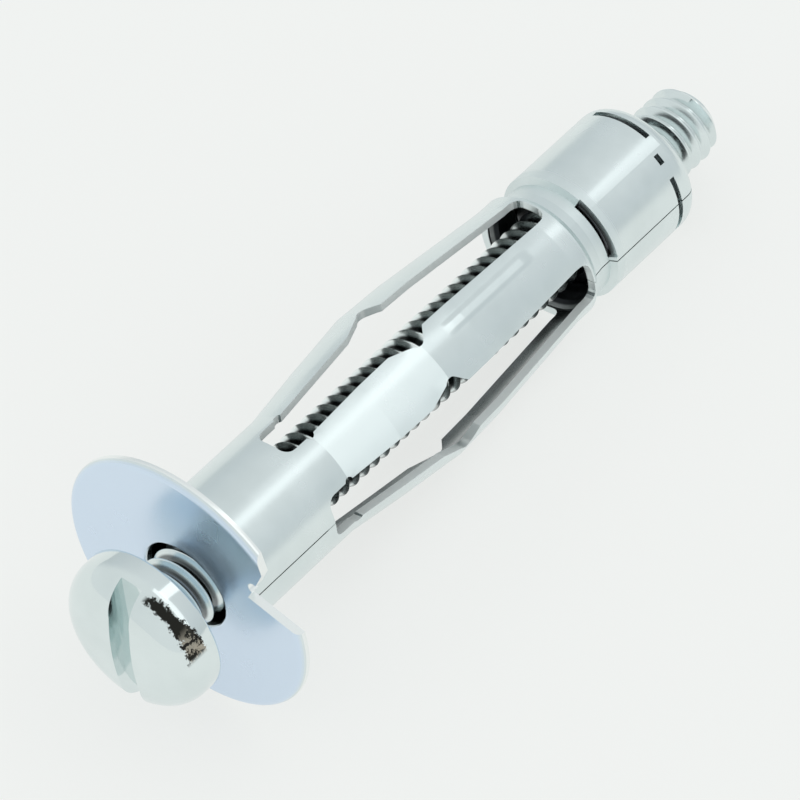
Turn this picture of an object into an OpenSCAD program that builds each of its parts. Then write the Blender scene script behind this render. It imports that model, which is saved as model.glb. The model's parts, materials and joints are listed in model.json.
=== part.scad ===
/* [Sleeve] */
// Length of the sleeve, from the flange face to the rolled-in end
sleeve_l = 32; // [28:0.5:40]
// Outer diameter of the rolled tube
tube_d = 6.5; // [6:0.1:8]
// Thickness of the sheet steel
sheet_t = 0.42; // [0.3:0.01:0.5]
// Width of the open seam along the tube
seam_w = 0.06; // [0.04:0.01:0.3]
// Angle of the seam round the axis
seam_at = 50; // [44:1:56]

/* [Flange] */
// Diameter of the flange
flange_d = 13.5; // [12:0.1:18]
// Diameter of the screw hole through the flange
flange_hole_d = 4.5; // [4.2:0.1:5]
// Outer radius of the bend between flange and tube
flange_bend_r = 0.6; // [0.3:0.05:0.9]
// Angles at which the two edges of the seam gap meet the flange rim
gap_edges_at = [17, 47]; // [0:1:60]
// Distance from the axis to the root of the seam gap
gap_root_r = 4.3; // [4:0.1:5]
// Angle of the root of the seam gap round the axis
gap_root_at = 31; // [26:1:40]
// Radius of the relief beside the root of the seam gap
relief_r = 0.32; // [0.2:0.02:0.5]
// Distance from the axis to the middle of that relief
relief_at_r = 5.05; // [4.8:0.05:5.4]
// Angle of that relief round the axis
relief_at = 25; // [22:0.5:27]
// Length by which the rim's corner beside the gap is cut back
lobe_corner = 0.5; // [0.2:0.05:0.8]

/* [Legs] */
// Angle of the middle of each window round the axis
window_at = [48, 142, 228, 323.5]; // [0:0.5:359]
// Angular width of each window
window_w = [40, 34, 44, 34]; // [28:1:46]
// Rise of the legs' knees over the tube
leg_rise = 0.8; // [0.3:0.01:1.4]
// Distance from the flange face to the near end of the windows
window_start = 6.4; // [5:0.1:8]
// Length of the windows between the legs
window_l = 18; // [14:0.1:20]
// Length from the near end of the windows to the near fold
near_fold_l = 1.5; // [1.2:0.1:2.5]
// Length from the far fold to the far end of the windows
far_fold_l = 0.8; // [0.7:0.1:1.5]
// Radius of the window corners
window_corner_r = 0.5; // [0.3:0.05:0.7]
// Depth of the bites in the leg edges at the knee
knee_bite = 0.66; // [0.4:0.02:0.8]
// Radius at the bottom of the bites in the leg edges at the knee
knee_bite_r = 0.4; // [0.3:0.05:0.6]
// Length of the near flank of a knee bite, from its start to its bottom
knee_bite_near = 1.5; // [1:0.1:2]
// Length of the far flank of a knee bite, from its bottom to its end
knee_bite_far = 0.85; // [0.7:0.05:1.4]
// Radius of the small nicks at the near and far folds
nick_r = 0.24; // [0.15:0.01:0.35]

/* [Nut housing] */
// Width by which the housing that grips the nut stands over the tube
housing_over = 0.2; // [0.1:0.02:1]
// Length of the nut
nut_l = 4.7; // [3:0.1:6]
// Clearance between the nut and the sheet round it
nut_clearance = 0.05; // [0.03:0.01:0.15]
// Depth by which the neck is pushed in behind the nut
neck_depth = 0.35; // [0.3:0.01:0.5]
// Width of the crimp slits in the sheet
slit_w = 0.28; // [0.2:0.01:0.5]
// Angles of the middles of the crimp slits on the neck
neck_slit_at = [17.5, 197.5]; // [0:0.5:359]
// Angular length of the crimp slits on the neck
neck_slit_angle = 57; // [40:1:84]
// Angles of the middles of the crimp slits at the end
end_slit_at = [54, 146, 235, 321]; // [0:1:359]
// Angular length of the crimp slits at the end
end_slit_angle = 56; // [40:1:64]
// Distance by which each of them lies nearer the flange than the last
end_slit_in = [0.4, 0.1, 0, 0]; // [0:0.05:0.4]
// Angle of the short relief slit between two crimp slits at the end
relief_slit_at = 8; // [0:0.5:16]
// Angular length of the short relief slit
relief_slit_angle = 9; // [6:1:16]
// Radius of the rolled-in lip
lip_r = 0.75; // [0.6:0.05:1.2]

/* [Screw] */
// Outer diameter of the thread
thread_d = 3.8; // [3.6:0.05:4]
// Length of the screw under its head
screw_l = 37.85; // [34:0.05:50]
// Gap between the flange face and the underside of the head
head_gap = 2.15; // [1:0.05:6]
// Diameter of the head
head_d = 7.6; // [7:0.1:9]
// Distance by which the head stands off the axis of the shank
head_off = 0.2; // [0:0.02:0.3]
// Angle round the axis of the side to which it does
head_off_at = 56; // [-180:1:180]
// Height of the head
head_h = 2.6; // [2:0.1:3]
// Radius of the rounded edge of the head
head_edge_r = 1.7; // [1:0.1:1.9]
// Rise of the crowned top of the head over its rounded edge
head_crown = 0.18; // [0.05:0.01:0.4]
// Width of the screwdriver slot
slot_w = 1.15; // [0.8:0.05:1.6]
// Sideways offset of the slot from the axis
slot_offset = 0.55; // [0:0.05:0.6]
// Depth of the screwdriver slot
slot_depth = 1.3; // [0.8:0.1:1.6]
// Angle of the slot round the axis
slot_at = 146; // [0:1:179]
// Radial running clearance between the thread and the nut bore
thread_clearance = 0.03; // [0.02:0.01:0.08]
// Length of the chamfer at the screw tip
tip_chamfer = 0.4; // [0.2:0.05:1]

/* [Lying] */
// Angle round the axis of the side that faces up
up_at = -28; // [-180:1:180]

/* [Hidden] */
$fn = 96;
cut = 0.02;

// How far the cuts through the sheet reach past it
reach = 1;

// Sheet left between a slit and the bend beside it
land = 0.03;

tube_r = tube_d / 2;
housing_r = tube_r + housing_over / 2;
flange_r = flange_d / 2;

// Stations along the axis, from the flange face
near_fold = window_start + near_fold_l;
window_end = window_start + window_l;
far_fold = window_end - far_fold_l;
leg_l = far_fold - near_fold;
near_bow = near_fold + 0.2 * leg_l;
knee_near = near_fold + 0.42 * leg_l;
knee_far = near_fold + 0.59 * leg_l;
lip_start = sleeve_l - lip_r;
end_slit = lip_start - slit_w - land;
nut_end = end_slit - nut_clearance;
nut_start = nut_end - nut_l;
neck_slit = nut_start - nut_clearance - slit_w;
neck_l = neck_slit - window_end;

// Steps in the arc of the lip
lip_steps = 8;

// Distance that keeps a window's corners off the folds of the sheet
station_gap = 0.1;

// Shares of the knee's rise at the stations of a leg
near_bow_share = 0.52;
knee_far_share = 0.86;
far_fold_rise = 0.1;

// Radii of the neck and the lip
neck_top_r = tube_r - neck_depth / 2;
neck_foot_r = housing_r - neck_depth;
lip_centre_r = housing_r - lip_r;

// Radii of the nut and of the screw in it
nut_r = housing_r - sheet_t - nut_clearance;
shank_r = thread_d / 2;
nut_bore_r = shank_r + thread_clearance;
nut_chamfer = 0.25;

// Where the laid-down anchor touches the surface: the flange's back edge and the lip
contact_run = lip_start - sheet_t;
contact_drop = flange_r - lip_centre_r;
lie_tilt = atan(contact_drop / contact_run) - asin(lip_r / norm([contact_run, contact_drop]));
flange_height = flange_r * cos(lie_tilt) + sheet_t * sin(lie_tilt);
whole_l = head_h + screw_l;

// Points of an arc about a centre, from angle a0 to a1 in n steps
function arc(centre, r, a0, a1, n) =
    [for (i = [0:n]) let (a = a0 + (a1 - a0) * i / n) centre + r * [cos(a), sin(a)]];

// Points of a line, mirrored about x = 0 and reversed, so that both join to a closed outline
function mirrored(points) =
    let (last = len(points) - 1) [for (i = [last:-1:0]) [-points[i][0], points[i][1]]];

// Outer face of the sheet from the collar to the lip, as [radius, z] points
function outer_line() = concat(
    [
        [tube_r, near_fold],
        [tube_r + near_bow_share * leg_rise, near_bow],
        [tube_r + leg_rise, knee_near],
        [tube_r + knee_far_share * leg_rise, knee_far],
        [tube_r + far_fold_rise, far_fold],
        [tube_r + far_fold_rise, window_end + station_gap],
        [neck_top_r, window_end + 0.3 * neck_l],
        [neck_foot_r, window_end + 0.65 * neck_l],
        [neck_foot_r, neck_slit + 0.25 * slit_w],
        [housing_r, neck_slit + 0.75 * slit_w],
    ],
    arc([lip_centre_r, lip_start], lip_r, 0, 80, lip_steps)
);

// The same line on the inner face of the sheet, from the lip back to the collar
function inner_line() = let (line = outer_line(), bend = len(line) - lip_steps - 1) concat(
    arc([lip_centre_r, lip_start], lip_r - sheet_t, 80, 0, lip_steps),
    [for (i = [bend - 1:-1:0]) [line[i][0] - sheet_t, line[i][1]]]
);

// Section of the whole sleeve on one side of its axis
module sleeve_section() {
    edge_r = 0.45 * sheet_t;
    rim_edge_r = 0.75 * sheet_t;
    hole_r = flange_hole_d / 2;
    bend_centre = [tube_r + flange_bend_r, sheet_t + flange_bend_r];
    polygon(concat(
        [[tube_r - sheet_t, sheet_t], [hole_r, sheet_t]],
        arc([hole_r + edge_r, edge_r], edge_r, 180, 270, 4),
        arc([flange_r - rim_edge_r, rim_edge_r], rim_edge_r, 270, 360, 5),
        [[flange_r, sheet_t]],
        arc(bend_centre, flange_bend_r, 270, 180, 5),
        outer_line(),
        inner_line()
    ));
}

// Half width of window w degrees wide at radius r
function window_half(w, r) = r * sin(w / 2);

// One side of a window's outline, as [x, z] points, with its rounded ends, nicks and knee bite
function window_side(w) =
    let (
        foot = window_half(w, tube_r),
        knee = window_half(w, tube_r + leg_rise),
        bow = window_half(w, tube_r + near_bow_share * leg_rise),
        far = window_half(w, tube_r + knee_far_share * leg_rise),
        corner = window_corner_r,
        bite_z = knee_near + 0.5 * station_gap
    )
    concat(
        arc([foot - corner, window_start + corner], corner, -90, 0, 5),
        arc([foot - 0.3 * nick_r, near_fold], nick_r, -70, 70, 5),
        [[bow, near_bow + station_gap]],
        [[knee, bite_z - knee_bite_near]],
        arc([knee + knee_bite - knee_bite_r, bite_z], knee_bite_r, -55, 45, 7),
        [[knee, bite_z + knee_bite_far], [far, knee_far + 2 * station_gap]],
        arc([foot - corner, window_end - corner], corner, 0, 90, 5)
    );

// Window of w degrees, punched through the sheet at angle a
module window_cut(a, w) {
    side = window_side(w);
    rotate([0, 0, a]) translate([tube_r - 2 * sheet_t, 0, 0])
        rotate([90, 0, 90]) linear_extrude(2 * sheet_t + leg_rise + reach)
            polygon(concat(side, mirrored(side)));
}

// Slit round the sheet, w degrees long and centred on angle a, from z up
module slit_cut(a, w, z) {
    rotate([0, 0, a - w / 2]) rotate_extrude(angle = w)
        translate([nut_r - reach, z]) square([2 * reach, slit_w]);
}

// Point at radius r and angle a
function polar(r, a) = r * [cos(a), sin(a)];

// Open gap of the seam across the flange, from its root out past the rim
module flange_gap() {
    gap_root = polar(gap_root_r, gap_root_at);
    relief = polar(relief_at_r, relief_at);
    corner = polar(flange_r - lobe_corner, gap_edges_at[0] + 1);
    upper_rim = polar(flange_r, gap_edges_at[0] - 7);
    lower_rim = polar(flange_r, gap_edges_at[1]);
    translate([0, 0, -cut]) linear_extrude(sheet_t + 2 * cut)
        polygon([gap_root, relief, corner, 2 * upper_rim - corner, 2 * lower_rim - gap_root]);
    translate([relief[0], relief[1], -cut]) cylinder(r = relief_r, h = sheet_t + 2 * cut);
}

module sleeve() {
    color("#b9c4c6") difference() {
        rotate_extrude() sleeve_section();
        for (i = [0:3]) window_cut(window_at[i], window_w[i]);
        for (i = [0:3]) slit_cut(end_slit_at[i], end_slit_angle, end_slit - end_slit_in[i]);
        for (a = neck_slit_at) slit_cut(a, neck_slit_angle, neck_slit);
        slit_cut(relief_slit_at, relief_slit_angle, end_slit - end_slit_in[0]);
        flange_gap();
        rotate([0, 0, seam_at]) translate([tube_r - reach, -seam_w / 2, sheet_t + cut])
            cube([2 * reach, seam_w, sleeve_l]);
    }
}

module nut() {
    color("#9aa3a6") difference() {
        rotate_extrude() translate([nut_bore_r, nut_start]) difference() {
            square([nut_r - nut_bore_r, nut_l]);
            for (z = [0, nut_l], r = [0, nut_r - nut_bore_r])
                translate([r, z]) rotate(45) square(nut_chamfer, center = true);
        }
    }
}

// Half section of the pan head, with its underside at z = 0 and its top towards -z
module head_section() {
    flat_r = head_d / 2 - head_edge_r;
    edge_top = head_h - head_crown;
    crown_r = (flat_r * flat_r + head_crown * head_crown) / (2 * head_crown);
    intersection() {
        translate([0, -head_h]) square([head_d / 2, head_h]);
        union() {
            translate([0, -(edge_top - head_edge_r)]) square([head_d / 2, edge_top - head_edge_r]);
            translate([0, -edge_top]) square([flat_r, edge_top]);
            translate([flat_r, -(edge_top - head_edge_r)]) circle(head_edge_r);
            translate([0, -head_h + crown_r]) intersection() {
                circle(crown_r);
                translate([0, -crown_r]) square([flat_r, head_crown]);
            }
        }
    }
}

module screw() {
    color("#c3cbc6") difference() {
        union() {
            translate(polar(head_off, head_off_at))
                rotate_extrude() translate([0, -head_gap]) head_section();
            translate([0, 0, -head_gap]) cylinder(r = shank_r, h = screw_l - tip_chamfer);
            translate([0, 0, -head_gap + screw_l - tip_chamfer])
                cylinder(r1 = shank_r, r2 = shank_r - tip_chamfer, h = tip_chamfer);
        }
        rotate([0, 0, slot_at]) translate([-head_d, -slot_w / 2 - slot_offset, -head_gap - head_h - cut])
            cube([2 * head_d, slot_w, slot_depth + cut]);
    }
}

// Lays the anchor down along +x, with the side at up_at on top and the head behind the origin
module lie() {
    translate([head_gap + head_h - whole_l / 2, 0, flange_height]) rotate([0, 90 + lie_tilt, 0])
        rotate([0, 0, 180 - up_at]) children();
}

lie() sleeve();
lie() nut();
lie() screw();
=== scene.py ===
"""Looks of the hollow wall anchor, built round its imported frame."""
import json
import math

import bmesh
import bpy
from mathutils import Matrix, Vector


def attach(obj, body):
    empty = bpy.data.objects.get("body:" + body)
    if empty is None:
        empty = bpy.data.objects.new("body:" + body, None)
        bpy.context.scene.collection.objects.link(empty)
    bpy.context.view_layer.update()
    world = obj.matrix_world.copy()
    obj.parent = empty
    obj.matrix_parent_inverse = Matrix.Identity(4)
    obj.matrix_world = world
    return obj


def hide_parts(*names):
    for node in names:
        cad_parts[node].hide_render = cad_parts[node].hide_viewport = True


MM = 0.001

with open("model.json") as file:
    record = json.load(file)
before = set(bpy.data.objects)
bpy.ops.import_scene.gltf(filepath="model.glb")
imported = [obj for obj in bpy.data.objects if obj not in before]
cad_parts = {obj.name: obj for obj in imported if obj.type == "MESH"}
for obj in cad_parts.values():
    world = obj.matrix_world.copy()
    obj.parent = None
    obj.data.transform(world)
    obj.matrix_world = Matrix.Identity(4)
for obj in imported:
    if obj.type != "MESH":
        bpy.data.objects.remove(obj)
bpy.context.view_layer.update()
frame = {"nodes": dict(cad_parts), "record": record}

# ---------------------------------------------------------------- anchor's own frame
mounts = {m["name"]: m for m in frame["record"]["mounts"]}
FACE = Vector(mounts["fixture_seat"]["pos_m"])          # centre of the flange's front
AXIS = Vector(mounts["wall_seat"]["axis"]).normalized()  # from the flange to the tip
UP_AT = math.radians(-28)                                # angle of the side facing up

TILT = math.atan2(-AXIS.z, AXIS.x)
OWN = (
    Matrix.Translation(FACE)
    @ Matrix.Rotation(math.pi / 2 + TILT, 4, "Y")
    @ Matrix.Rotation(math.pi - UP_AT, 4, "Z")
)

# ---------------------------------------------------------------- camera
# The anchor points THETA away from the image plane and ALPHA up from the image's right.
THETA = math.radians(29.3)
ALPHA = math.radians(42.9)
LENS_MM = 260.1
FACE_FROM_CAMERA = Vector((-9.331, 8.047, 250.5)) * MM   # right, down, forward


def place_camera():
    st, ct, sa, ca = math.sin(THETA), math.cos(THETA), math.sin(ALPHA), math.cos(ALPHA)
    seen = Matrix((
        (ct * ca, -ct * sa, st),      # the axis
        (st * ca, -st * sa, -ct),     # the side at angle 0
        (sa, ca, 0),                  # the side at angle 90
    ))
    own = OWN.to_3x3()
    real = Matrix((own @ Vector((0, 0, 1)), own @ Vector((1, 0, 0)), own @ Vector((0, 1, 0))))
    turn = real.transposed() @ seen   # camera's right, down, forward to world
    right, down, forward = (turn.col[i].copy() for i in range(3))
    place = FACE - turn @ FACE_FROM_CAMERA
    world = Matrix((right, -down, -forward)).transposed().to_4x4()
    world.translation = place
    data = bpy.data.cameras.new("camera")
    data.sensor_width = 36
    data.lens = LENS_MM
    data.clip_start, data.clip_end = 0.01, 5
    camera = bpy.data.objects.new("camera", data)
    camera.matrix_world = world
    bpy.context.collection.objects.link(camera)
    bpy.context.scene.camera = camera


# ---------------------------------------------------------------- mesh helpers
def new_piece(name, verts, faces):
    mesh = bpy.data.meshes.new(name)
    mesh.from_pydata([tuple(v) for v in verts], [], faces)
    mesh.validate()
    bm = bmesh.new()
    bm.from_mesh(mesh)
    bmesh.ops.remove_doubles(bm, verts=bm.verts, dist=1e-7)
    bmesh.ops.dissolve_degenerate(bm, edges=bm.edges, dist=1e-8)
    bmesh.ops.recalc_face_normals(bm, faces=bm.faces)
    bm.to_mesh(mesh)
    bm.free()
    for p in mesh.polygons:
        p.use_smooth = True
    obj = bpy.data.objects.new(name, mesh)
    bpy.context.collection.objects.link(obj)
    return obj


def revolve(profile, segments):
    """Vertices and faces of a closed turned form; its profile runs from axis to axis."""
    verts, faces, rings = [], [], []
    for r, z in profile:
        if r < 1e-9:
            rings.append([len(verts)])
            verts.append(Vector((0, 0, z)))
        else:
            start = len(verts)
            rings.append(list(range(start, start + segments)))
            for k in range(segments):
                a = 2 * math.pi * k / segments
                verts.append(Vector((r * math.cos(a), r * math.sin(a), z)))
    for lower, upper in zip(rings, rings[1:]):
        for k in range(segments):
            n = (k + 1) % segments
            if len(lower) == 1:
                faces.append((lower[0], upper[n], upper[k]))
            elif len(upper) == 1:
                faces.append((lower[k], lower[n], upper[0]))
            else:
                faces.append((lower[k], lower[n], upper[n], upper[k]))
    return verts, faces


# ---------------------------------------------------------------- screw
HEAD_GAP, HEAD_H, HEAD_R = 2.15 * MM, 2.6 * MM, 3.8 * MM
HEAD_OFF = 0.2 * MM      # the head stands this far off the shank, across the slot
EDGE_R, CROWN = 1.7 * MM, 0.18 * MM
SLOT_W, SLOT_DEPTH, SLOT_AT = 1.15 * MM, 1.3 * MM, math.radians(146)
SLOT_OFFSET = 0.55 * MM
SCREW_L, CHAMFER = 37.85 * MM, 0.4 * MM
PITCH, CREST_R, ROOT_R = 0.7 * MM, 1.88 * MM, 1.46 * MM
THREAD_SIDES = 72
HEAD_SIDES = 144
RIM_R = 0.12 * MM        # rounding of the head's lower rim
SLOT_ROUND = 0.09 * MM   # rounding of the slot's edges
RUNOUT = 0.5 * MM        # the thread fades into the shank over this length under the head
# Share of a pitch and height of the thread over its root at the points of one turn
THREAD_SHAPE = ((0.0, 0.0), (0.1, 0.02), (0.2, 0.16), (0.44, 0.93), (0.5, 1.0),
                (0.56, 1.0), (0.62, 0.93), (0.86, 0.16), (0.95, 0.02))


def head_mesh():
    """The pan head: underside at -HEAD_GAP, crowned top towards -z; build_screw cuts its slot."""
    flat = HEAD_R - EDGE_R
    top = HEAD_H - CROWN
    ball = (flat * flat + CROWN * CROWN) / (2 * CROWN)
    profile = [(0, 0.25 * MM), (ROOT_R, 0.25 * MM), (ROOT_R + 0.3 * MM, 0.05 * MM),
               (ROOT_R + 0.5 * MM, 0), (HEAD_R - RIM_R, 0)]
    for i in range(5):
        a = math.radians(90 - 18 * (i + 1))
        profile.append((HEAD_R - RIM_R + RIM_R * math.cos(a), -RIM_R + RIM_R * math.sin(a)))
    for i in range(19):
        a = math.radians(5 * i)
        profile.append((flat + EDGE_R * math.cos(a), -(top - EDGE_R) - EDGE_R * math.sin(a)))
    for i in range(1, 13):
        r = flat * (1 - i / 12)
        profile.append((r, -HEAD_H + ball - math.sqrt(ball * ball - r * r)))
    verts, faces = revolve([(r, z - HEAD_GAP) for r, z in profile], HEAD_SIDES)
    across = Vector((math.sin(SLOT_AT), -math.cos(SLOT_AT), 0))
    return [v + HEAD_OFF * across for v in verts], faces


def thread_mesh():
    """Helical shank from the head to the chamfered tip; each row follows the helix."""
    start, tip = -HEAD_GAP, -HEAD_GAP + SCREW_L
    verts, faces = [], []
    points = len(THREAD_SHAPE)
    turns = int(SCREW_L / PITCH) + 3
    for turn in range(turns):
        for share, height in THREAD_SHAPE:
            for k in range(THREAD_SIDES):
                a = 2 * math.pi * k / THREAD_SIDES
                z = start - PITCH + PITCH * (turn + share + k / THREAD_SIDES)
                r = ROOT_R + (CREST_R - ROOT_R) * height
                runout = min(1, max(0, (z - start) / RUNOUT))
                r = (ROOT_R + 0.2 * MM) * (1 - runout) + r * runout
                z = min(max(z, start - 0.1 * MM), tip)
                r = min(r, CREST_R - CHAMFER * 1.1 + (tip - z))
                verts.append(Vector((r * math.cos(a), r * math.sin(a), z)))
    rows = turns * points
    for row in range(rows - 1):
        for k in range(THREAD_SIDES):
            n = k + 1
            if n < THREAD_SIDES:
                faces.append((row * THREAD_SIDES + k, row * THREAD_SIDES + n,
                              (row + 1) * THREAD_SIDES + n, (row + 1) * THREAD_SIDES + k))
            elif row + 1 + points < rows:
                low, high = row + points, row + 1 + points
                faces.append((row * THREAD_SIDES + k, low * THREAD_SIDES,
                              high * THREAD_SIDES, (row + 1) * THREAD_SIDES + k))
    # end caps
    verts.append(Vector((0, 0, tip)))
    centre = len(verts) - 1
    last = (rows - 1) * THREAD_SIDES
    for k in range(THREAD_SIDES - 1):
        faces.append((last + k, last + k + 1, centre))
    faces.append((last + THREAD_SIDES - 1, last, centre))
    return verts, faces


def build_screw():
    verts, faces = head_mesh()
    head = new_piece("screw_head", verts, faces)
    bm = bmesh.new()
    bmesh.ops.create_cube(bm, size=1)
    for v in bm.verts:
        v.co = Vector((v.co.x * 4 * HEAD_R, v.co.y * SLOT_W - SLOT_OFFSET, v.co.z * 2 * SLOT_DEPTH))
        v.co.z -= HEAD_GAP + HEAD_H
    slot_mesh = bpy.data.meshes.new("slot_cutter")
    bm.to_mesh(slot_mesh)
    bm.free()
    slot_mesh.transform(Matrix.Rotation(SLOT_AT, 4, "Z"))
    cutter = bpy.data.objects.new("slot_cutter", slot_mesh)
    bpy.context.collection.objects.link(cutter)
    cut = head.modifiers.new("slot", "BOOLEAN")
    cut.object, cut.operation, cut.solver = cutter, "DIFFERENCE", "EXACT"
    apply_modifiers(head)
    bpy.data.objects.remove(cutter)
    bevel_sharp(head, SLOT_ROUND)

    verts, faces = thread_mesh()
    shank = new_piece("screw_thread", verts, faces)
    joined = bmesh.new()
    joined.from_mesh(head.data)
    joined.from_mesh(shank.data)
    mesh = bpy.data.meshes.new("screw_threaded")
    joined.to_mesh(mesh)
    joined.free()
    for obj in (head, shank):
        bpy.data.objects.remove(obj)
    for p in mesh.polygons:
        p.use_smooth = True
    mesh.set_sharp_from_angle(angle=math.radians(32))
    mesh.transform(OWN)
    screw = bpy.data.objects.new("screw_threaded", mesh)
    bpy.context.collection.objects.link(screw)
    return screw


def apply_modifiers(obj):
    graph = bpy.context.evaluated_depsgraph_get()
    graph.update()
    mesh = bpy.data.meshes.new_from_object(obj.evaluated_get(graph))
    obj.modifiers.clear()
    old = obj.data
    obj.data = mesh
    bpy.data.meshes.remove(old)


def bevel_sharp(obj, width):
    """Rounds the edges that the slot leaves sharp."""
    bm = bmesh.new()
    bm.from_mesh(obj.data)
    sharp = [e for e in bm.edges if len(e.link_faces) == 2
             and e.calc_face_angle(0) > math.radians(35)
             and all((v.co.z < -HEAD_GAP - 0.3 * MM) for v in e.verts)]
    bmesh.ops.bevel(bm, geom=sharp, offset=width, segments=3, profile=0.5,
                    affect="EDGES", clamp_overlap=True)
    bm.to_mesh(obj.data)
    bm.free()


# ---------------------------------------------------------------- materials
def node_tree(name):
    mat = bpy.data.materials.new(name)
    mat.use_nodes = True
    tree = mat.node_tree
    tree.nodes.clear()
    out = tree.nodes.new("ShaderNodeOutputMaterial")
    shader = tree.nodes.new("ShaderNodeBsdfPrincipled")
    tree.links.new(shader.outputs[0], out.inputs[0])
    return mat, tree, shader


def add(tree, kind, **values):
    node = tree.nodes.new(kind)
    for key, value in values.items():
        if key in node.inputs:
            node.inputs[key].default_value = value
        else:
            setattr(node, key, value)
    return node


def ramp(tree, source, stops):
    node = tree.nodes.new("ShaderNodeValToRGB")
    elements = node.color_ramp.elements
    while len(elements) > 1:
        elements.remove(elements[-1])
    for i, (place, colour) in enumerate(stops):
        e = elements[0] if i == 0 else elements.new(place)
        e.position = place
        e.color = (*colour, 1)
    tree.links.new(source, node.inputs[0])
    return node


def math_node(tree, operation, a, b=None, c=None, clamp=False):
    node = add(tree, "ShaderNodeMath", operation=operation, use_clamp=clamp)
    for socket, value in zip(node.inputs, (a, b, c)):
        if value is None:
            continue
        if isinstance(value, (int, float)):
            socket.default_value = value
        else:
            tree.links.new(value, socket)
    return node.outputs[0]


def vector_node(tree, operation, a, b=None):
    node = add(tree, "ShaderNodeVectorMath", operation=operation)
    for socket, value in zip(node.inputs, (a, b)):
        if isinstance(value, (Vector, tuple)):
            socket.default_value = tuple(value)
        elif value is not None:
            tree.links.new(value, socket)
    return node.outputs["Value" if operation in ("DOT_PRODUCT", "LENGTH") else "Vector"]


def fade(tree, value, low, high):
    """0 at low and 1 at high, smooth between; low may be the larger."""
    node = add(tree, "ShaderNodeMapRange", interpolation_type="SMOOTHSTEP")
    tree.links.new(value, node.inputs["Value"])
    node.inputs["From Min"].default_value = low
    node.inputs["From Max"].default_value = high
    return node.outputs["Result"]


def mix(tree, factor, a, b, blend="MIX"):
    node = add(tree, "ShaderNodeMix", data_type="RGBA", blend_type=blend)
    if isinstance(factor, (int, float)):
        node.inputs["Factor"].default_value = factor
    else:
        tree.links.new(factor, node.inputs["Factor"])
    for socket, value in zip((node.inputs[6], node.inputs[7]), (a, b)):
        if isinstance(value, tuple):
            socket.default_value = (*value, 1)
        else:
            tree.links.new(value, socket)
    return node.outputs[2]


def own_place(tree):
    """Object coordinates, and in mm: z along the anchor's axis, x and y across it, and the radius."""
    coords = add(tree, "ShaderNodeTexCoord").outputs["Object"]
    offset = vector_node(tree, "SUBTRACT", coords, FACE)
    own = OWN.to_3x3()
    shares = (vector_node(tree, "DOT_PRODUCT", offset, own.col[i].copy()) for i in range(3))
    x, y, z = (math_node(tree, "MULTIPLY", share, 1 / MM) for share in shares)
    out = math_node(tree, "SQRT", math_node(tree, "MULTIPLY_ADD", x, x, math_node(tree, "MULTIPLY", y, y)))
    return coords, x, y, z, out


def zinc(name, low, high, roughness, tone):
    """Zinc plate: a faint cloudy tint, a satin gloss that varies, and the sheet's fine grain.

    tone(tree, colour, gloss, place) gives the colour, the roughness, a height in mm and
    how metallic it is."""
    mat, tree, shader = node_tree(name)
    place = own_place(tree)
    coords = place[0]
    cloud = add(tree, "ShaderNodeTexNoise", Scale=450.0, Detail=3.0, Roughness=0.55)
    tree.links.new(coords, cloud.inputs["Vector"])
    colour = ramp(tree, cloud.outputs["Fac"], ((0.3, low), (0.7, high))).outputs[0]
    gloss = ramp(tree, cloud.outputs["Fac"], (
        (0.25, (roughness * 0.9,) * 3), (0.75, (roughness * 1.1,) * 3))).outputs[0]
    colour, gloss, height, metal = tone(tree, colour, gloss, place)
    tree.links.new(colour, shader.inputs["Base Color"])
    if isinstance(metal, float):
        shader.inputs["Metallic"].default_value = metal
    else:
        tree.links.new(metal, shader.inputs["Metallic"])
    tree.links.new(gloss, shader.inputs["Roughness"])
    grain = add(tree, "ShaderNodeTexNoise", Scale=4500.0, Detail=4.0, Roughness=0.6)
    tree.links.new(coords, grain.inputs["Vector"])
    height = math_node(tree, "MULTIPLY_ADD", grain.outputs["Fac"], 0.001, height)
    relief = add(tree, "ShaderNodeBump", Strength=1.0, Distance=MM)
    tree.links.new(height, relief.inputs["Height"])
    tree.links.new(relief.outputs[0], shader.inputs["Normal"])
    return mat


def span(tree, value, start, end, soft):
    """1 from start to end of value and 0 outside, softened over soft."""
    rise = fade(tree, value, start - soft, start)
    return math_node(tree, "MULTIPLY", rise, fade(tree, value, end + soft, end))


def product(tree, first, *others):
    for other in others:
        first = math_node(tree, "MULTIPLY", first, other)
    return first


# Places in mm: along the axis from the flange's front, and out from the axis (R)
FLANGE_SHEET = (-0.1, 0.44)
FLANGE_BLUE_END = (1.2, 0.4)
FLANGE_RIM_R = (4.1, 4.3)
TUBE_BORE_R = (3.0, 2.88)
COLLAR, LEGS, NECK = (0.6, 6.6), (6.0, 24.6), (24.6, 26.4)
HOUSING_FROM = (23.8, 24.6)
DENT_ALONG, DENT_ACROSS, DENT_SIDE, DENT_HEIGHT = (16.6, 21.5), (-0.55, -0.25), (2.0, 2.5), 0.05
HEAD_END, SHANK_FROM, DARK_ROOTS_END = -2.2, (5.0, 6.0), (29.8, 29.2)
THREAD_CREST_R, THREAD_ROOT_R = (1.74, 1.82), (1.74, 1.60)
SHADED_SIDE = (0.6, 1.3)
HIDDEN_THREAD = (23.6, 29.2)
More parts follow.
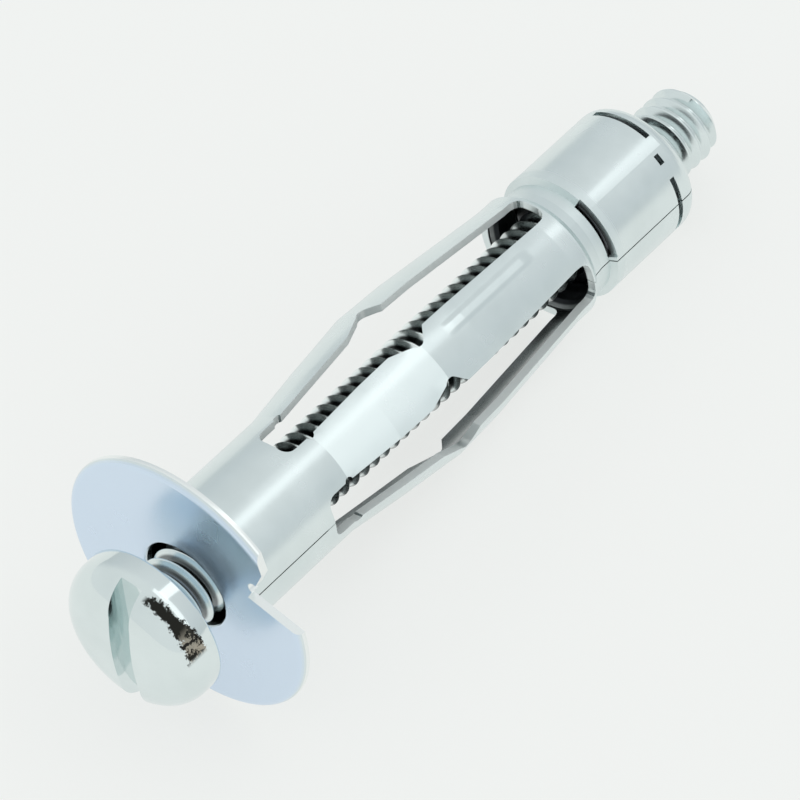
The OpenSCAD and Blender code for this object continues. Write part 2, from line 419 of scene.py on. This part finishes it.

# Colours of the zinc, with painted shade, painted highlights and a painted reflection, and how dull it is
BLUE_ZINC, SHEARED_RIM_HIGHLIGHT, BORE_SHADE = (0.70, 0.81, 0.94), (0.92, 0.95, 0.94), (0.05, 0.055, 0.06)
LEG_INNER_SHADE, LEG_SIDE = (0.36, 0.38, 0.38), (0.86, 0.90, 0.89)
NECK_GLOSS, LEG_SIDE_GLOSS, HEAD_GLOSS = (0.42,) * 3, (0.5,) * 3, (0.10,) * 3
CREST_HIGHLIGHT, SHADED_CREST = (0.90, 0.95, 0.94), (0.45, 0.475, 0.47)
ROOT_SHADE_BY_HEAD, ROOT_SHADE = (0.20, 0.215, 0.22), (0.02, 0.022, 0.022)
HOUSING_SHADE = (0.10, 0.105, 0.105)
PAINTED_REFLECTION, SPECKS = (0.025, 0.025, 0.022), (0.38, 0.35, 0.29)


def sleeve_tone(tree, colour, gloss, place):
    """Blue passivation on the flange's faces, a sheared rim lightened as bare steel and a painted
    highlight, and painted shade inside the bore.
    """
    _, x, y, z, out = place
    normal = add(tree, "ShaderNodeNewGeometry").outputs["True Normal"]
    facing = math_node(tree, "ABSOLUTE", vector_node(tree, "DOT_PRODUCT", normal, AXIS))

    flange = product(tree, fade(tree, z, *FLANGE_BLUE_END), fade(tree, facing, 0.3, 0.95))
    colour = mix(tree, flange, colour, BLUE_ZINC)
    # the sheared rim edge is lightened: partly bare steel, partly a painted highlight
    rim = product(tree, span(tree, z, *FLANGE_SHEET, 0.01), fade(tree, out, *FLANGE_RIM_R),
                  fade(tree, facing, 0.5, 0.2))
    colour = mix(tree, rim, colour, SHEARED_RIM_HIGHLIGHT)

    # painted shade: the bore inside the collar and the housing is darkened to near black
    ends = math_node(tree, "ADD", span(tree, z, *COLLAR, 0.4), fade(tree, z, *HOUSING_FROM), clamp=True)
    colour = mix(tree, product(tree, fade(tree, out, *TUBE_BORE_R), ends), colour, BORE_SHADE)
    gloss = mix(tree, span(tree, z, *NECK, 0.3), gloss, NECK_GLOSS)

    # shallow lengthwise dent that the punch leaves on the far half of the front leg
    dent = product(tree, span(tree, y, *DENT_ACROSS, 0.25), span(tree, z, *DENT_ALONG, 0.7),
                   fade(tree, x, *DENT_SIDE))
    height = math_node(tree, "MULTIPLY", dent, DENT_HEIGHT)

    # painted shade darkens the legs' inner faces, and their sheared sides are matt
    radial = math_node(tree, "DIVIDE", outward(tree, normal, x, y), out)
    legs = span(tree, z, *LEGS, 0.1)
    colour = mix(tree, product(tree, legs, fade(tree, radial, -0.5, -0.7)), colour, LEG_INNER_SHADE)
    side = product(tree, legs, fade(tree, math_node(tree, "ABSOLUTE", radial), 0.6, 0.4),
                   fade(tree, facing, 0.8, 0.6))
    colour = mix(tree, side, colour, LEG_SIDE)
    gloss = mix(tree, side, gloss, LEG_SIDE_GLOSS)
    return colour, gloss, height, math_node(tree, "MULTIPLY_ADD", side, -0.75, 1.0)


def outward(tree, normal, x, y):
    """The normal's share along the line from the axis, times the radius."""
    own = OWN.to_3x3()
    shares = (vector_node(tree, "DOT_PRODUCT", normal, own.col[i].copy()) for i in range(2))
    return math_node(tree, "ADD", *(math_node(tree, "MULTIPLY", s, p) for s, p in zip(shares, (x, y))))


def screw_tone(tree, colour, gloss, place):
    """Glossy head with a painted dark reflection, painted highlight on the thread's crests, painted shade
    in the roots and on one side of the shank, and painted shade on the thread inside the neck and the
    housing.
    """
    _, _, y, z, out = place
    body = product(tree, fade(tree, z, HEAD_END, -2.0), fade(tree, z, *DARK_ROOTS_END))
    shank = fade(tree, z, *SHANK_FROM)
    # painted highlight on the thread's crests, and painted shade on the crests of one side of the shank
    crest_light_and_shade = mix(tree, fade(tree, y, *SHADED_SIDE), CREST_HIGHLIGHT, SHADED_CREST)
    colour = mix(tree, product(tree, fade(tree, out, *THREAD_CREST_R), body, shank), colour, crest_light_and_shade)
    # painted shade in the thread's roots, near black along the shank and lighter under the head
    root_shade = mix(tree, shank, ROOT_SHADE_BY_HEAD, ROOT_SHADE)
    colour = mix(tree, product(tree, fade(tree, out, *THREAD_ROOT_R), body), colour, root_shade)
    # painted shade: the thread that sits in the neck and the housing at rest is darkened
    housing_shade = span(tree, z, *HIDDEN_THREAD, 0.4)
    colour = mix(tree, math_node(tree, "MULTIPLY", housing_shade, 0.3), colour, HOUSING_SHADE)

    head = fade(tree, z, -1.9, HEAD_END)
    reflection_band, specks = head_painted_reflection(tree, place)
    # painted reflection: a ragged dark band on the head, with brown specks in it
    colour = mix(tree, product(tree, reflection_band, head), colour, mix(tree, specks, PAINTED_REFLECTION, SPECKS))
    gloss = mix(tree, head, gloss, HEAD_GLOSS)
    return colour, gloss, 0.0, 1.0


def head_painted_reflection(tree, place):
    """Painted reflection: a ragged dark band that widens round the head's upper side, and the brown specks
    at its end.
    """
    coords, x, y, z, out = place
    ragged = add(tree, "ShaderNodeTexNoise", Scale=2600.0, Detail=5.0, Roughness=0.75)
    tree.links.new(coords, ragged.inputs["Vector"])
    middle = math_node(tree, "MULTIPLY_ADD", y, 0.12, -3.52)
    half_width = math_node(tree, "MULTIPLY_ADD", y, 0.11, 0.20)
    off = math_node(tree, "ABSOLUTE", math_node(tree, "SUBTRACT", z, middle))
    off = math_node(tree, "MULTIPLY_ADD", ragged.outputs["Fac"], 1.2, math_node(tree, "ADD", off, -0.6))
    reflection_band = product(tree, fade(tree, math_node(tree, "SUBTRACT", half_width, off), -0.04, 0.02),
                     span(tree, y, -0.6, 2.5, 0.25), fade(tree, x, 0.5, 1.0), fade(tree, out, 3.35, 3.5))
    specks = product(tree, fade(tree, y, 1.2, 1.9), fade(tree, ragged.outputs["Fac"], 0.49, 0.52))
    return reflection_band, specks


def nut_tone(tree, colour, gloss, place):
    """Colour passed through unchanged: the nut's dark zinc is painted shade."""
    return colour, gloss, 0.0, 1.0


def dress(obj, mat):
    obj.data.materials.clear()
    obj.data.materials.append(mat)


# ---------------------------------------------------------------- floor and light
FLOOR_HALF = 1.2
FLOOR_GLOW = 0.69
BEHIND_HEAD = (0.80, 0.83, 0.83)   # the studio on the side that only the head mirrors
# The studio's tones from the horizon up
SKY = ((0.0, (0.62, 0.66, 0.67)), (0.3, (0.66, 0.70, 0.72)),
       (0.7, (0.74, 0.77, 0.78)), (1.0, (0.80, 0.83, 0.84)))
LAMP_AWAY = 0.5


def build_floor():
    """White paper; its glow, seen by the camera and in the metal, leaves only a faint shadow."""
    corners = [(x * FLOOR_HALF, y * FLOOR_HALF, 0) for x, y in ((-1, -1), (1, -1), (1, 1), (-1, 1))]
    mesh = bpy.data.meshes.new("floor")
    mesh.from_pydata(corners, [], [(0, 1, 2, 3)])
    floor = bpy.data.objects.new("floor", mesh)
    bpy.context.collection.objects.link(floor)
    mat, tree, shader = node_tree("paper")
    path = add(tree, "ShaderNodeLightPath").outputs
    seen = math_node(tree, "MAXIMUM", path["Is Camera Ray"], math_node(
        tree, "MAXIMUM", path["Is Glossy Ray"], path["Is Transmission Ray"]))
    tree.links.new(mix(tree, seen, (0.9, 0.9, 0.9), (0.24, 0.242, 0.24)), shader.inputs["Base Color"])
    shader.inputs["Roughness"].default_value = 1.0
    shader.inputs["Specular IOR Level"].default_value = 0.0
    shader.inputs["Emission Color"].default_value = (0.985, 1.0, 0.98, 1)
    tree.links.new(math_node(tree, "MULTIPLY", seen, FLOOR_GLOW), shader.inputs["Emission Strength"])
    dress(floor, mat)


def softbox(name, toward, distance, size, radiance):
    """A softbox facing the anchor from direction toward; size is along and round the anchor's axis."""
    data = bpy.data.lights.new(name, "AREA")
    data.shape = "RECTANGLE"
    data.size, data.size_y = size
    data.energy = radiance * math.pi * size[0] * size[1]
    light = bpy.data.objects.new(name, data)
    back = toward.normalized()
    side = (AXIS - back * back.dot(AXIS)).normalized()
    place = Matrix((side, back.cross(side), back)).transposed().to_4x4()
    place.translation = back * distance
    light.matrix_world = place
    bpy.context.collection.objects.link(light)


def mirrored_by(normal_at, lean):
    """Direction that the camera sees in a sleeve face at an angle, leaning towards the flange."""
    own = OWN.to_3x3()
    a, n = math.radians(normal_at), math.radians(lean)
    face = own @ Vector((math.cos(a) * math.cos(n), math.sin(a) * math.cos(n), -math.sin(n)))
    seen = FACE - bpy.context.scene.camera.matrix_world.translation
    return seen.normalized().reflect(face)


def build_world():
    """A pale studio, greyer at the horizon on the side that the sleeve mirrors."""
    world = bpy.data.worlds.new("studio")
    bpy.context.scene.world = world
    world.use_nodes = True
    tree = world.node_tree
    tree.nodes.clear()
    out = add(tree, "ShaderNodeOutputWorld")
    back = add(tree, "ShaderNodeBackground")
    direction = add(tree, "ShaderNodeTexCoord").outputs["Generated"]
    split = add(tree, "ShaderNodeSeparateXYZ")
    tree.links.new(direction, split.inputs[0])
    sky = ramp(tree, split.outputs["Z"], SKY)
    ahead = fade(tree, vector_node(tree, "DOT_PRODUCT", direction, AXIS), 0.05, 0.38)
    tree.links.new(mix(tree, ahead, BEHIND_HEAD, sky.outputs[0]), back.inputs["Color"])
    tree.links.new(back.outputs[0], out.inputs[0])


def main():
    place_camera()
    screw = build_screw()
    screw_mat = zinc("screw_zinc", (0.73, 0.80, 0.80), (0.78, 0.85, 0.85), 0.2, screw_tone)
    sleeve_mat = zinc("sleeve_zinc", (0.73, 0.80, 0.80), (0.79, 0.86, 0.86), 0.26, sleeve_tone)
    # the nut's dark zinc is painted shade
    nut_mat = zinc("nut_zinc", (0.10, 0.105, 0.11), (0.14, 0.145, 0.15), 0.35, nut_tone)
    dress(screw, screw_mat)
    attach(screw, "screw")
    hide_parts("screw")
    dress(frame["nodes"]["sleeve"], sleeve_mat)
    dress(frame["nodes"]["nut"], nut_mat)

    build_floor()
    build_world()
    softbox("key", mirrored_by(-7, 0), LAMP_AWAY, (0.22, 0.12), 0.52)
    softbox("panel", mirrored_by(6, 7.5), LAMP_AWAY, (0.12, 0.80), 0.42)

    bpy.context.scene.view_settings.view_transform = "Standard"


main()
